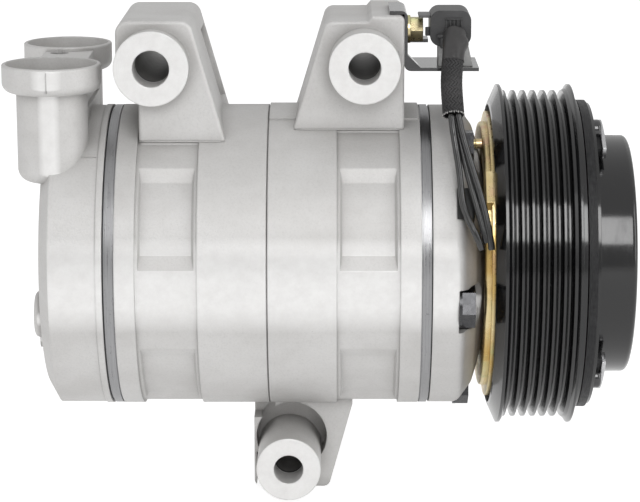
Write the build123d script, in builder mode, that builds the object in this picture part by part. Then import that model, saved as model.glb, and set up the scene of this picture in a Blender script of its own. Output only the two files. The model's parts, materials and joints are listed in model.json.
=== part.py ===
"""Automotive air-conditioning compressor: ten cylinders, fixed swash plate, magnetic clutch.

+X points along the shaft to the pulley, +Z is up, and the origin is on the shaft axis in the
middle of the six belt grooves. Axial stations are given as distances from the parting seam
between the two cylinder blocks and turned into X with at().
"""

import os
from math import acos, cos, degrees, pi, radians, sin, sqrt

from build123d import *

# ---- Driving dimensions (mm) ----
belt_to_seam = 93.6
cylinder_count = 5
body_radius = 53.5
pitch_radius = 32.0
bore_radius = 14.5
stroke = 22.0
bolt_circle = 47.0
bolt_hole_radius = 4.2
bolt_radius = 3.8
first_cylinder_angle = 154.0
first_bolt_angle = 190.0

# Axial stations, from the seam
rear_end = -78.0
rear_pack = (-55.8, -55.3, -54.9, -52.1, -51.7)
front_pack = (52.6, 53.0, 55.6, 56.0, 56.4)
front_head_end = 75.0
nose_end = 104.0

# Running gear
swash_station = (rear_pack[-1] + front_pack[0]) / 2
swash_slope = stroke / (2 * pitch_radius)
swash_angle = degrees(acos(1 / sqrt(1 + swash_slope**2)))
plate_radius = 41.2
plate_half = 3.0
facing_depth = 1.0
shoe_radius = 7.5
running_gap = 0.1
piston_radius = bore_radius - running_gap
end_clearance = 0.3
piston_half = (front_pack[0] - rear_pack[-1]) / 2 - stroke / 2 - end_clearance
chamber_half = 17.0
chamber_rear = swash_station - chamber_half
chamber_front = swash_station + chamber_half
cup_pocket = 35.8
chamber_radius = 41.9
bridge_radius = 41.75
hub_half = 12.0
journal_radius = 8.0
needle_radius = 1.2
needle_circle = journal_radius + 0.05 + needle_radius
cup_inner = needle_circle + needle_radius + 0.05
cup_outer = 12.0
shaft_clearance = 9.6

# Clutch
nose_radius = 17.5
bearing_outer = 27.5
bearing_back = 84.0
bearing_front = 104.0
pulley_front = 108.5
pulley_flange_radius = 60.6
rib_radius = 58.5
groove_pitch = 3.56
groove_count = 6
groove_depth = 3.3
first_groove = 84.7
friction_radius = 55.6
air_gap = 0.5
armature_back = pulley_front + air_gap
armature_front = 112.0
cover_radius = 42.4
cover_front = 127.0
coil_inner = 31.0
coil_outer = 46.0
coil_front = 94.0

# Mounting ears
ear_face = -35.0
ear_bore_end = 44.0


def at(distance):
    """X of a station given as its distance from the block seam."""
    return distance - belt_to_seam


def tube(outer, inner, start, end, mode=Mode.ADD):
    """A round tube or disc about the shaft axis, between two stations."""
    with BuildSketch(Plane.YZ.offset(at(start))) as face:
        Circle(outer)
        if inner > 0:
            Circle(inner, mode=Mode.SUBTRACT)
    extrude(face.sketch, amount=end - start, mode=mode)


def turned(points, mode=Mode.ADD):
    """A turned solid about the shaft axis from (station, radius) corners."""
    with BuildSketch(Plane.XZ) as face:
        with BuildLine():
            Polyline([(at(station), radius) for station, radius in points], close=True)
        make_face()
    revolve(face.sketch, axis=Axis.X, mode=mode)


def holes(radius, circle, first_angle, start, end, count=cylinder_count, mode=Mode.SUBTRACT):
    """A ring of round holes or pins parallel to the shaft."""
    with BuildSketch(Plane.YZ.offset(at(start))) as face:
        with PolarLocations(circle, count, start_angle=first_angle):
            Circle(radius)
    extrude(face.sketch, amount=end - start, mode=mode)


def save(part, name):
    part.label = name
    export_step(part, f"parts/{name}.step")


os.makedirs("parts", exist_ok=True)

# ---- Swash plate geometry ----
normal = Vector(cos(radians(swash_angle)), 0, sin(radians(swash_angle)))
swash_centre = Vector(at(swash_station), 0, 0)
cylinder_angles = [first_cylinder_angle + 360 / cylinder_count * i for i in range(cylinder_count)]


def seat_centre(angle):
    """Centre of the shoe pair on the plate's middle plane, for a cylinder at a polar angle."""
    turn = radians(angle)
    x = swash_centre.X - swash_slope * pitch_radius * sin(turn)
    return Vector(x, pitch_radius * cos(turn), pitch_radius * sin(turn))


# ---- Cylinder blocks ----
band_depth = 1.0
pocket_depth = 2.6
window_floor = 29.0
window_mouth = 57.8
window_rim = 0.5
window_slope = 1.3
top_pad_rise = 0.5
top_pad_angles = (66.0, 107.0)
pocket_angles = [154.0 + 72 * i for i in range(5)]
rear_band = (-44.8, -23.7)
front_band = (23.8, 45.4)


def ray(radius, angle):
    """A point at a radius and polar angle in a plane square to the shaft."""
    return (radius * cos(radians(angle)), radius * sin(radians(angle)))


def windows(band):
    """Cutter for the five windows of one block: their floors are round and all four sides slope."""
    floor = body_radius - pocket_depth
    near, far = band[0] + window_rim, band[1] - window_rim
    with BuildPart() as cutter:
        turned(
            [
                (near - window_slope, body_radius + pocket_depth),
                (near + window_slope, floor),
                (far - window_slope, floor),
                (far + window_slope, body_radius + pocket_depth),
            ]
        )
        with BuildSketch(Plane.YZ.offset(at(band[0]) - 5)) as wedges:
            for angle in pocket_angles:
                with BuildLine():
                    Polyline(
                        ray(floor - 4, angle - window_floor / 2),
                        ray(floor, angle - window_floor / 2),
                        ray(body_radius + 3, angle - window_mouth / 2),
                        ray(body_radius + 30, angle),
                        ray(body_radius + 3, angle + window_mouth / 2),
                        ray(floor, angle + window_floor / 2),
                        ray(floor - 4, angle + window_floor / 2),
                        close=True,
                    )
                make_face()
        extrude(wedges.sketch, amount=band[1] - band[0] + 10, mode=Mode.INTERSECT)
    return cutter.part


def block_body(start, end, band):
    """Outside of one block: barrel, shallow band and the five deeper windows in it."""
    tube(body_radius, 0, start, end)
    tube(body_radius + 1, body_radius - band_depth, band[0], band[1], mode=Mode.SUBTRACT)
    add(windows(band), mode=Mode.SUBTRACT)


def block_inside(start, end, chamber_start, chamber_end, cup_start, cup_end):
    """Bores, swash chamber, bearing seat and bolt holes of one block."""
    tube(chamber_radius, 0, chamber_start, chamber_end, mode=Mode.SUBTRACT)
    tube(shaft_clearance, 0, start, end, mode=Mode.SUBTRACT)
    tube(cup_outer, 0, cup_start, cup_end, mode=Mode.SUBTRACT)
    holes(bore_radius, pitch_radius, first_cylinder_angle, start, end)
    holes(bolt_hole_radius, bolt_circle, first_bolt_angle, start, end)


def ear_plate(outline, front, back):
    """The flat web of a mounting ear, from a side outline of (station, height) corners."""
    with BuildSketch(Plane.XZ.offset(-front)) as plate:
        with BuildLine():
            Polyline([(at(station), height) for station, height in outline], close=True)
        make_face()
    extrude(plate.sketch, amount=-(back - front))


def ear_boss(boss):
    """The round boss of an ear, whose two end faces are machined."""
    with BuildSketch(Plane.XZ.offset(-ear_face)) as round_boss:
        with Locations((at(boss[0]), boss[1])):
            Circle(boss[2])
    extrude(round_boss.sketch, amount=-(ear_bore_end - ear_face))


def upright_edges(part, height):
    """Edges along Y that lie above a height: the top corners of an ear."""
    return part.edges().filter_by(Axis.Y).filter_by(lambda edge: edge.center().Z > height)


def ear_hole(boss):
    """The bolt hole through a boss, cut a little past both faces."""
    with BuildSketch(Plane.XZ.offset(-ear_face + 1)) as bore:
        with Locations((at(boss[0]), boss[1])):
            Circle(boss[3])
    extrude(bore.sketch, amount=-(ear_bore_end - ear_face + 2), mode=Mode.SUBTRACT)


seal_groove = (51.7, 52.9)
seal_depth = 1.0
seal_gap = 0.02
seam_groove_half = 0.25
seam_groove_depth = 0.4

# The connector bracket is screwed to the side face of the front ear.
bracket_x = 47.1
screw_height = 81.5
screw_y = -5.0
screw_radius = 2.5
screw_reach = 9.0
screw_play = 0.05

# Each boss: station, height, outer radius, hole radius.
rear_boss = (-39.4, 71.7, 12.9, 6.3)
front_boss = (33.3, 71.8, 12.3, 5.6)
low_boss = (6.8, -70.3, 11.3, 5.2)

# Each ear outline: (station, height) corners.
rear_ear = [(-44.4, 40), (-44.4, 61), (-52, 66), (-52, 87.2), (-26.4, 87.2), (-14.6, 46), (-14.6, 40)]
rear_ear_depth = (-28, 28)
front_ear = [
    (8.7, 40),
    (8.7, 49),
    (20, 86.3),
    (34.5, 86.3),
    (36.0, 88.1),
    (bracket_x, 88.1),
    (bracket_x, 40),
]
front_ear_depth = (-22, 26)
low_ear = [(1.8, -44), (29.4, -44), (29.4, -52), (20.9, -82.8), (-5.8, -82.8), (-5.8, -57), (1.8, -57)]
low_ear_depth = (-15, 25)
low_scallop = (7.6, -64.0)
low_scallop_radius = 12.6
side_pocket_front = 4.0
side_pocket_width = 20.0
ear_corner = 4.5
ear_rim = 1.2
scallop_depth = 11.0

with BuildPart() as rear_ear_body:
    ear_plate(rear_ear, *rear_ear_depth)
    fillet(upright_edges(rear_ear_body, 85), radius=ear_corner)
    front_rim = rear_ear_body.faces().sort_by(Axis.Y)[0].edges()
    back_rim = rear_ear_body.faces().sort_by(Axis.Y)[-1].edges()
    fillet(front_rim + back_rim, radius=ear_rim)
    # A lightening pocket opens on the slanted side, in the rear half of the ear.
    with BuildSketch(Plane.XZ.offset(-side_pocket_front)) as side_pocket:
        with BuildLine():
            Polyline((at(-34), 80), (at(-20), 80), (at(-9), 54), (at(-28), 54), close=True)
        make_face()
    extrude(amount=-side_pocket_width, mode=Mode.SUBTRACT)

with BuildPart() as front_ear_body:
    ear_plate(front_ear, *front_ear_depth)
    fillet(upright_edges(front_ear_body, 87).sort_by(Axis.X)[-1], radius=2)
    fillet(upright_edges(front_ear_body, 85).sort_by(Axis.X)[0], radius=3.5)
    fillet(front_ear_body.faces().sort_by(Axis.Y)[0].edges(), radius=1.0)
    fillet(front_ear_body.faces().sort_by(Axis.Y)[-1].edges(), radius=1.0)

with BuildPart() as low_ear_body:
    ear_plate(low_ear, *low_ear_depth)
    fillet(low_ear_body.edges().filter_by(Axis.Y).group_by(Axis.Z)[0], radius=2.5)
    ear_plate([(-5.8, -44), (6, -44), (6, -60), (-5.8, -60)], -6, low_ear_depth[1])
    with BuildSketch(Plane.XZ.offset(-low_ear_depth[0])) as scallop:
        with Locations((at(low_scallop[0]), low_scallop[1])):
            Circle(low_scallop_radius)
        with Locations((at(low_scallop[0]) - 2, low_scallop[1] - 14)):
            Rectangle(2 * low_scallop_radius - 4, 16)
    extrude(amount=-scallop_depth, mode=Mode.SUBTRACT)

with BuildPart() as rear_block:
    block_body(rear_pack[-1], 0, rear_band)
    add(rear_ear_body.part)
    ear_boss(rear_boss)
    block_inside(rear_pack[-1], 0, chamber_rear, 0, swash_station - cup_pocket, chamber_rear)
    tube(body_radius + 0.3, body_radius - seam_groove_depth, -seam_groove_half, 0, mode=Mode.SUBTRACT)
    ear_hole(rear_boss)
save(rear_block.part, "rear_block")

with BuildPart() as front_block:
    block_body(0, front_pack[0], front_band)
    # A slightly raised pad runs along the top, under the ear.
    with BuildSketch(Plane.YZ.offset(at(seam_groove_half))) as top_pad:
        Circle(body_radius + top_pad_rise)
        Circle(body_radius - 1, mode=Mode.SUBTRACT)
        with BuildLine():
            first, last = (ray(2 * body_radius, angle) for angle in top_pad_angles)
            Polyline((0, 0), first, last, close=True)
        make_face(mode=Mode.INTERSECT)
    extrude(amount=front_pack[0] - 2 * seam_groove_half)
    add(front_ear_body.part)
    add(low_ear_body.part)
    tube(body_radius + 0.3, 0, -9, 0, mode=Mode.SUBTRACT)
    ear_boss(front_boss)
    ear_boss(low_boss)
    block_inside(0, front_pack[0], 0, chamber_front, chamber_front, swash_station + cup_pocket)
    tube(body_radius + 0.3, body_radius - seam_groove_depth, 0, seam_groove_half, mode=Mode.SUBTRACT)
    ear_hole(front_boss)
    ear_hole(low_boss)
    tube(seal_groove[1], seal_groove[0], 0, seal_depth, mode=Mode.SUBTRACT)
    with BuildSketch(Plane.YZ.offset(at(bracket_x))) as screw_hole:
        with Locations((screw_y, screw_height)):
            Circle(screw_radius + screw_play)
    extrude(amount=-screw_reach - 2, mode=Mode.SUBTRACT)
save(front_block.part, "front_block")


# The seam is sealed by a ring in a groove in the front block, outside the bolts.
with BuildPart() as block_seal:
    tube(seal_groove[1] - seal_gap, seal_groove[0] + seal_gap, seal_gap, seal_depth - seal_gap)
save(block_seal.part, "block_seal")

# ---- Valve packs ----
suction_circle = 37.5
suction_hole = 3.2
discharge_circle = 23.5
discharge_hole = 2.6
pack_bore = 13.0
plate_rim = 53.4
sheet_rim = 52.7
reed_slot = 0.8
reed_length = 15.0
reed_width = 8.6
reed_root = 7.0


def pack_disc(rim, start, end, ports):
    """A round sheet of a valve pack with its bolt holes, shaft hole and port holes."""
    tube(rim, pack_bore, start, end)
    holes(bolt_hole_radius, bolt_circle, first_bolt_angle, start, end)
    for circle, radius in ports:
        holes(radius, circle, first_cylinder_angle, start, end)


def reed_slots(start, end, reed_circle, other_circle, other_radius):
    """Cuts that free one reed over each port, and a clear hole over the other port."""
    with BuildSketch(Plane.YZ.offset(at(start))) as slots:
        with PolarLocations(reed_circle, cylinder_count, start_angle=first_cylinder_angle):
            SlotOverall(reed_length, reed_width, rotation=90)
        with PolarLocations(reed_circle, cylinder_count, start_angle=first_cylinder_angle):
            inner_length = reed_length - 2 * reed_slot
            inner_width = reed_width - 2 * reed_slot
            SlotOverall(inner_length, inner_width, rotation=90, mode=Mode.SUBTRACT)
        with PolarLocations(reed_circle, cylinder_count, start_angle=first_cylinder_angle):
            with Locations((0, reed_root)):
                Rectangle(reed_width + 0.4, 5, mode=Mode.SUBTRACT)
    extrude(slots.sketch, amount=end - start, mode=Mode.SUBTRACT)
    holes(other_radius, other_circle, first_cylinder_angle, start, end)


all_ports = [(suction_circle, suction_hole), (discharge_circle, discharge_hole)]

with BuildPart() as rear_valve_plate:
    pack_disc(plate_rim, rear_pack[2], rear_pack[3], all_ports)
save(rear_valve_plate.part, "rear_valve_plate")

with BuildPart() as front_valve_plate:
    pack_disc(plate_rim, front_pack[1], front_pack[2], all_ports)
save(front_valve_plate.part, "front_valve_plate")

with BuildPart() as rear_suction_reeds:
    pack_disc(sheet_rim, rear_pack[3], rear_pack[4], [])
    reed_slots(rear_pack[3], rear_pack[4], suction_circle, discharge_circle, discharge_hole)
save(rear_suction_reeds.part, "rear_suction_reeds")

with BuildPart() as front_suction_reeds:
    pack_disc(sheet_rim, front_pack[0], front_pack[1], [])
    reed_slots(front_pack[0], front_pack[1], suction_circle, discharge_circle, discharge_hole)
save(front_suction_reeds.part, "front_suction_reeds")

with BuildPart() as rear_discharge_reeds:
    pack_disc(sheet_rim, rear_pack[1], rear_pack[2], [])
    reed_slots(rear_pack[1], rear_pack[2], discharge_circle, suction_circle, suction_hole)
save(rear_discharge_reeds.part, "rear_discharge_reeds")

with BuildPart() as front_discharge_reeds:
    pack_disc(sheet_rim, front_pack[2], front_pack[3], [])
    reed_slots(front_pack[2], front_pack[3], discharge_circle, suction_circle, suction_hole)
save(front_discharge_reeds.part, "front_discharge_reeds")

# ---- Heads ----
suction_wall = (28.0, 41.5)
discharge_radius = 26.0


def head_gasket(start, end):
    """The gasket seals the outer rim and the wall between the two head chambers."""
    tube(sheet_rim, suction_wall[1], start, end)
    tube(suction_wall[0], discharge_radius, start, end)
    holes(bolt_hole_radius, bolt_circle, first_bolt_angle, start, end)


with BuildPart() as rear_head_gasket:
    head_gasket(rear_pack[0], rear_pack[1])
save(rear_head_gasket.part, "rear_head_gasket")

with BuildPart() as front_head_gasket:
    head_gasket(front_pack[3], front_pack[4])
save(front_head_gasket.part, "front_head_gasket")

port_station = -74.0
port_offset = 27.0
port_top = 72.6
port_depth = 6.0
port_flange = 9.5
neck_radius = 12.2
neck_bottom = 32.0
front_port = (-port_offset, 17.0, 15.7, 9.0)
rear_port = (port_offset, 15.9, 14.6, 7.8)
port_rims = [front_port, rear_port]
stud_place = (-75.0, 8.0)
stud_radius = 3.3
head_chamber = 13.0
machined_band = 2.2


def port_disc(height, offset, radius):
    """A round face of one port at a height."""
    with BuildSketch(Plane.XY.offset(height)) as disc:
        with Locations((at(port_station), offset)):
            Circle(radius)
    return disc.sketch


port_bodies = []
for offset, rim, cup, passage in port_rims:
    with BuildPart() as port_body:
        extrude(port_disc(neck_bottom, offset, neck_radius), amount=port_top - neck_bottom - 1)
        fillet(port_body.edges().group_by(Axis.Z)[0], radius=4.5)
    port_bodies.append(port_body.part)
    with BuildPart() as port_flange_body:
        extrude(port_disc(port_top - port_flange, offset, rim), amount=port_flange)
        fillet(port_flange_body.edges().group_by(Axis.Z)[0], radius=3.2)
        fillet(port_flange_body.edges().group_by(Axis.Z)[-1], radius=0.6)
    port_bodies.append(port_flange_body.part)

with BuildPart() as rear_head:
    with BuildSketch(Plane.XZ) as head_profile:
        with BuildLine():
            Polyline(
                (at(rear_end), 0),
                (at(rear_end), 46.5),
                (at(rear_end) + 3.8, body_radius - 0.3),
                (at(rear_pack[0]) - machined_band, body_radius - 0.3),
                (at(rear_pack[0]) - machined_band, body_radius),
                (at(rear_pack[0]), body_radius),
                (at(rear_pack[0]), 0),
                close=True,
            )
        make_face()
        fillet(head_profile.vertices().group_by(Axis.X)[0].sort_by(Axis.Y)[-1], radius=3)
        fillet(head_profile.vertices().group_by(Axis.X)[1], radius=3)
    revolve(axis=Axis.X)
    # A round boss on the rear face closes the discharge passage.
    with BuildSketch(Plane.YZ.offset(at(rear_end) + 1)) as rear_bump:
        with Locations((-34, -14)):
            Circle(8)
    extrude(amount=-3.6)
    fillet(rear_head.faces().sort_by(Axis.X)[0].edges(), radius=1.5)
    # Three cast ribs run from the middle of the rear face to its lower edge.
    for angle in (215, 250, 290):
        with BuildSketch(Plane.YZ.offset(at(rear_end) + 0.5)) as rib:
            with Locations(Location(ray(24, angle))):
                SlotOverall(38, 7, rotation=angle)
        extrude(amount=-1.7)
    for port_piece in port_bodies:
        add(port_piece)
    with BuildSketch(Plane.XY.offset(port_top - 20)) as stud_pad:
        with Locations((at(port_station) + 2, 4)):
            RectangleRounded(17, 40, 4)
    extrude(amount=18.6)
    with BuildSketch(Plane.XY.offset(30)) as port_web:
        with Locations((at(port_station) + 5, 0)):
            Rectangle(13, 2 * port_offset)
    extrude(amount=26)
    for offset, rim, cup, passage in port_rims:
        extrude(port_disc(port_top, offset, cup), amount=-port_depth, mode=Mode.SUBTRACT)
        extrude(port_disc(port_top, offset, passage), amount=-(port_top - 38), mode=Mode.SUBTRACT)
        with BuildSketch(Plane.YZ.offset(at(port_station))) as cross_hole:
            with Locations((offset, 44)):
                Circle(4)
        extrude(amount=10, mode=Mode.SUBTRACT)
    with BuildSketch(Plane.XY.offset(port_top)) as stud_hole:
        with Locations((at(stud_place[0]), stud_place[1])):
            Circle(stud_radius)
    extrude(amount=-16, mode=Mode.SUBTRACT)
    tube(suction_wall[1], suction_wall[0], rear_pack[0] - head_chamber, rear_pack[0], mode=Mode.SUBTRACT)
    tube(discharge_radius, 0, rear_pack[0] - head_chamber, rear_pack[0], mode=Mode.SUBTRACT)
    holes(bolt_radius + 0.1, bolt_circle, first_bolt_angle, rear_pack[0] - 15, rear_pack[0])
save(rear_head.part, "rear_head")

bolt_seat = 65.4
bolt_head_height = 5.6
notch_radius = 7.9
seal_seat = 88.0
wire_notch_angle = 149.0
notch_back = 64.6
notch_width = 11.0
notch_depth = 6.0
grommet_front = 70.6
grommet_gap = 0.05

with BuildPart() as front_head:
    with BuildSketch(Plane.XZ) as head_side:
        with BuildLine():
            Polyline(
                (at(front_pack[4]), 0),
                (at(front_pack[4]), 53.3),
                (at(66.5), 53.3),
                (at(71.5), 46.5),
                (at(73.4), 40.5),
                (at(front_head_end), 34.0),
                (at(front_head_end), nose_radius + 3),
                (at(bearing_back), nose_radius + 3),
                (at(bearing_back), nose_radius),
                (at(nose_end + 2.4), nose_radius),
                (at(nose_end + 2.4), 0),
                close=True,
            )
        make_face()
        shoulder = head_side.vertices().filter_by(lambda vertex: vertex.Y > 38 and vertex.X > at(66))
        fillet(shoulder, radius=4)
    revolve(axis=Axis.X)
    tube(nose_radius + 1, nose_radius - 1, nose_end, nose_end + 1.3, mode=Mode.SUBTRACT)
    tube(suction_wall[1], suction_wall[0], front_pack[4], front_pack[4] + 6.5, mode=Mode.SUBTRACT)
    tube(discharge_radius, 15, front_pack[4], front_pack[4] + 10, mode=Mode.SUBTRACT)
    tube(shaft_clearance, 0, front_pack[4], seal_seat, mode=Mode.SUBTRACT)
    tube(14.0, 0, seal_seat, nose_end + 3, mode=Mode.SUBTRACT)
    tube(14.8, 13.5, 98.6, 99.9, mode=Mode.SUBTRACT)
    for circle in (bolt_circle, bolt_circle + 6):
        holes(notch_radius, circle, first_bolt_angle, bolt_seat, front_head_end + 1)
    holes(bolt_hole_radius, bolt_circle, first_bolt_angle, front_pack[4], bolt_seat)
    # A shallow notch beside the upper bolt takes the lead grommet.
    with BuildSketch(Plane.YZ.offset(at(notch_back))) as wire_notch:
        with Locations(Location(ray(body_radius, wire_notch_angle))):
            Rectangle(2 * notch_depth, notch_width, rotation=wire_notch_angle)
    extrude(amount=front_head_end - notch_back, mode=Mode.SUBTRACT)
save(front_head.part, "front_head")

# The rubber block that carries the coil leads sits in that notch.
with BuildPart() as lead_grommet:
    with BuildSketch(Plane.YZ.offset(at(notch_back) + grommet_gap)) as grommet:
        with Locations(Location(ray(body_radius - notch_depth / 2, wire_notch_angle))):
            grommet_depth = notch_depth - 2 * grommet_gap
            Rectangle(grommet_depth, notch_width - 2 * grommet_gap, rotation=wire_notch_angle)
    extrude(amount=grommet_front - notch_back)
    fillet(lead_grommet.faces().sort_by(Axis.X)[-1].edges(), radius=1.2)
save(lead_grommet.part, "lead_grommet")

# ---- Through bolts, drawn up from the front head into the rear head ----
bolt_flats = 13.0
bolt_reach = -68.0

with BuildPart() as through_bolts:
    holes(bolt_radius, bolt_circle, first_bolt_angle, bolt_reach, bolt_seat + 1, mode=Mode.ADD)
    holes(7.5, bolt_circle, first_bolt_angle, bolt_seat, bolt_seat + 1, mode=Mode.ADD)
    with BuildSketch(Plane.YZ.offset(at(bolt_seat + 1))) as bolt_heads:
        with PolarLocations(bolt_circle, cylinder_count, start_angle=first_bolt_angle):
            RegularPolygon(bolt_flats / 2, 6, major_radius=False)
    extrude(amount=bolt_head_height - 1)
save(through_bolts.part, "through_bolts")

# ---- Shaft and its bearings ----
needle_count = 14
cup_length = 14.0
cup_centre = 28.5
spline_radius = 7.0
thread_radius = 5.0
hub_seat = 104.0
hub_seat_end = 118.0
shaft_tip = 124.5

with BuildPart() as shaft:
    turned(
        [
            (-45, 0),
            (-45, journal_radius - 1),
            (-44, journal_radius),
            (front_head_end, journal_radius),
            (front_head_end, 7.6),
            (hub_seat, 7.6),
            (hub_seat, spline_radius),
            (hub_seat_end, spline_radius),
            (hub_seat_end, thread_radius),
            (shaft_tip - 0.8, thread_radius),
            (shaft_tip, thread_radius - 0.8),
            (shaft_tip, 0),
        ]
    )
save(shaft.part, "shaft")

with BuildPart() as needle_cups:
    for side in (-1, 1):
        start = swash_station + side * cup_centre - cup_length / 2
        tube(cup_outer - 0.02, cup_inner, start, start + cup_length)
        tube(cup_outer - 0.02, 9.0, start, start + 1)
        tube(cup_outer - 0.02, 9.0, start + cup_length - 1, start + cup_length)
save(needle_cups.part, "needle_cups")

with BuildPart() as needle_cages:
    for side in (-1, 1):
        start = swash_station + side * cup_centre - cup_length / 2 + 1.1
        end = start + cup_length - 2.2
        tube(needle_circle + 0.6, needle_circle - 0.6, start, end)
        holes(needle_radius + 0.05, needle_circle, 0, start + 1, end - 1, needle_count)
        holes(needle_radius, needle_circle, 0, start + 1.05, end - 1.05, needle_count, mode=Mode.ADD)
save(needle_cages.part, "needle_cages")

# ---- Swash plate and thrust bearings ----
tilted = Plane(origin=swash_centre, x_dir=(0, 1, 0), z_dir=normal)
facing_inner = 24.0
facing_outer = 41.0
facing_gap = 0.05

with BuildPart() as swash_plate:
    with BuildSketch(tilted.offset(facing_depth - plate_half)) as disc:
        Circle(plate_radius)
    extrude(amount=2 * (plate_half - facing_depth))
    with BuildSketch(tilted.offset(-plate_half)) as web:
        Circle(facing_inner - facing_gap)
    extrude(amount=2 * plate_half)
    tube(15.0, 0, swash_station - hub_half, swash_station + hub_half)
    tube(journal_radius + 0.01, 0, swash_station - 20, swash_station + 20, mode=Mode.SUBTRACT)
save(swash_plate.part, "swash_plate")

with BuildPart() as swash_facings:
    for side in (-1, 1):
        inner_face = plate_half - facing_depth + facing_gap
        with BuildSketch(tilted.offset(side * inner_face)) as facing:
            Circle(facing_outer)
            Circle(facing_inner, mode=Mode.SUBTRACT)
        extrude(facing.sketch, amount=side * (facing_depth - 2 * facing_gap))
save(swash_facings.part, "swash_facings")

race_outer = 17.0
race_inner = 10.0
roller_count = 16
race_thickness = 1.0
roller_gap = 0.05
roller_radius = (chamber_half - hub_half - 2 * race_thickness - 2 * roller_gap) / 2
roller_length = 5.0
cage_half = 0.7


def thrust_layer(inner, outer, near, far):
    """A flat ring on each side of the swash hub, between two distances from the plate centre."""
    tube(outer, inner, swash_station + near, swash_station + far)
    tube(outer, inner, swash_station - far, swash_station - near)


with BuildPart() as moving_thrust_races:
    thrust_layer(race_inner, race_outer, hub_half, hub_half + race_thickness)
save(moving_thrust_races.part, "moving_thrust_races")

with BuildPart() as fixed_thrust_races:
    thrust_layer(race_inner, race_outer, chamber_half - race_thickness, chamber_half)
save(fixed_thrust_races.part, "fixed_thrust_races")

roller_middle = hub_half + race_thickness + roller_gap + roller_radius
roller_planes = []
for side in (-1, 1):
    for index in range(roller_count):
        turn = 2 * pi * index / roller_count
        outward = Vector(0, cos(turn), sin(turn))
        origin = Vector(at(swash_station + side * roller_middle), 0, 0) + outward * (race_inner + 1)
        roller_planes.append(Plane(origin=origin, x_dir=(1, 0, 0), z_dir=outward))

with BuildPart() as thrust_rollers:
    thrust_layer(race_inner, race_outer - 0.2, roller_middle - cage_half, roller_middle + cage_half)
    for plane in roller_planes:
        with BuildSketch(plane.offset(-roller_gap)) as slot:
            Circle(roller_radius + roller_gap)
        extrude(amount=roller_length + 2 * roller_gap, mode=Mode.SUBTRACT)
    for plane in roller_planes:
        with BuildSketch(plane) as roller:
            Circle(roller_radius)
        extrude(amount=roller_length)
save(thrust_rollers.part, "thrust_rollers")

# ---- Pistons and shoes ----
socket_radius = shoe_radius + 0.03
window_neck = 4.0
window_flare = 0.34
shoe_crown = 7.1
shoe_lip = 0.4


def make_piston(angle, name):
    """A double-headed piston whose middle clears the swash plate, with two half-ball sockets."""
    turn = radians(angle)
    centre = seat_centre(angle)
    outward = Vector(0, cos(turn), sin(turn))
    across = Plane(origin=centre, x_dir=outward, z_dir=(1, 0, 0))
    along = Plane(origin=centre, x_dir=(1, 0, 0), z_dir=outward.cross(Vector(1, 0, 0)))
    with BuildPart() as piston:
        with BuildSketch(across.offset(-piston_half)) as barrel:
            Circle(piston_radius)
        extrude(amount=2 * piston_half)
        ends = piston.faces().sort_by(Axis.X)
        chamfer(ends[0].edges() + ends[-1].edges(), length=0.5)
        far = piston_radius + 1
        spread = window_neck + window_flare * far
        with BuildSketch(along) as window:
            with BuildLine():
                Polyline(
                    (-window_neck, 0),
                    (-spread, far),
                    (spread, far),
                    (window_neck, 0),
                    close=True,
                )
            make_face()
        revolve(axis=Axis(centre, (1, 0, 0)), mode=Mode.SUBTRACT)
        with BuildSketch(across.offset(-spread - 1)) as bridge:
            Circle(piston_radius)
            with Locations((bridge_radius - pitch_radius + bore_radius, 0)):
                Rectangle(2 * bore_radius, 2 * bore_radius, mode=Mode.INTERSECT)
        extrude(amount=2 * spread + 2)
        with BuildSketch(along) as socket:
            with BuildLine():
                CenterArc((0, 0), socket_radius, 0, 180)
                Line((-socket_radius, 0), (socket_radius, 0))
            make_face()
        revolve(axis=Axis(centre, (1, 0, 0)), mode=Mode.SUBTRACT)
    save(piston.part, name)


def make_shoe(angle, side, name):
    """Half of a ball centred on the plate's middle plane, flat against the plate facing."""
    centre = seat_centre(angle)
    along = Plane(origin=centre, x_dir=normal * side, z_dir=(0, side, 0))
    flat_radius = sqrt(shoe_radius**2 - (plate_half + shoe_lip) ** 2)
    crown_half = sqrt(shoe_radius**2 - shoe_crown**2)
    middle = shoe_radius / sqrt(2)
    with BuildPart() as shoe:
        with BuildSketch(along) as profile:
            with BuildLine():
                Line((plate_half, 0), (plate_half, flat_radius - 0.3))
                Line((plate_half, flat_radius - 0.3), (plate_half + shoe_lip, flat_radius))
                rim = (plate_half + shoe_lip, flat_radius)
                ThreePointArc(rim, (middle, middle), (shoe_crown, crown_half))
                Line((shoe_crown, crown_half), (shoe_crown, 0))
                Line((shoe_crown, 0), (plate_half, 0))
            make_face()
        revolve(axis=Axis(centre, normal))
    save(shoe.part, name)


for index, angle in enumerate(cylinder_angles, start=1):
    make_piston(angle, f"piston_{index}")
    make_shoe(angle, 1, f"front_shoe_{index}")
    make_shoe(angle, -1, f"rear_shoe_{index}")

# ---- Shaft seal ----
with BuildPart() as shaft_seal:
    tube(13.95, 11.0, seal_seat, 98.4)
    tube(13.95, 7.7, seal_seat + 0.05, seal_seat + 2)
    tube(9.5, 7.7, seal_seat + 2, 96)
save(shaft_seal.part, "shaft_seal")

with BuildPart() as seal_retaining_ring:
    tube(14.6, 12.0, 98.7, 99.8)
    with BuildSketch(Plane.YZ.offset(at(98))) as ring_gap:
        with Locations((0, -13.5)):
            Rectangle(5, 4)
    extrude(amount=3, mode=Mode.SUBTRACT)
save(seal_retaining_ring.part, "seal_retaining_ring")

# ---- Clutch coil, fixed to the front head ----
coil_back = 79.2
shell = 2.4
lip_radius = 47.3
dish_radius = 51.0
tab_angle = 142.0
tab_width = 12.0
stud_angle = 110.5
stud_circle = 45.6
stud_tip = 71.2
lip_back = 74.4

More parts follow.
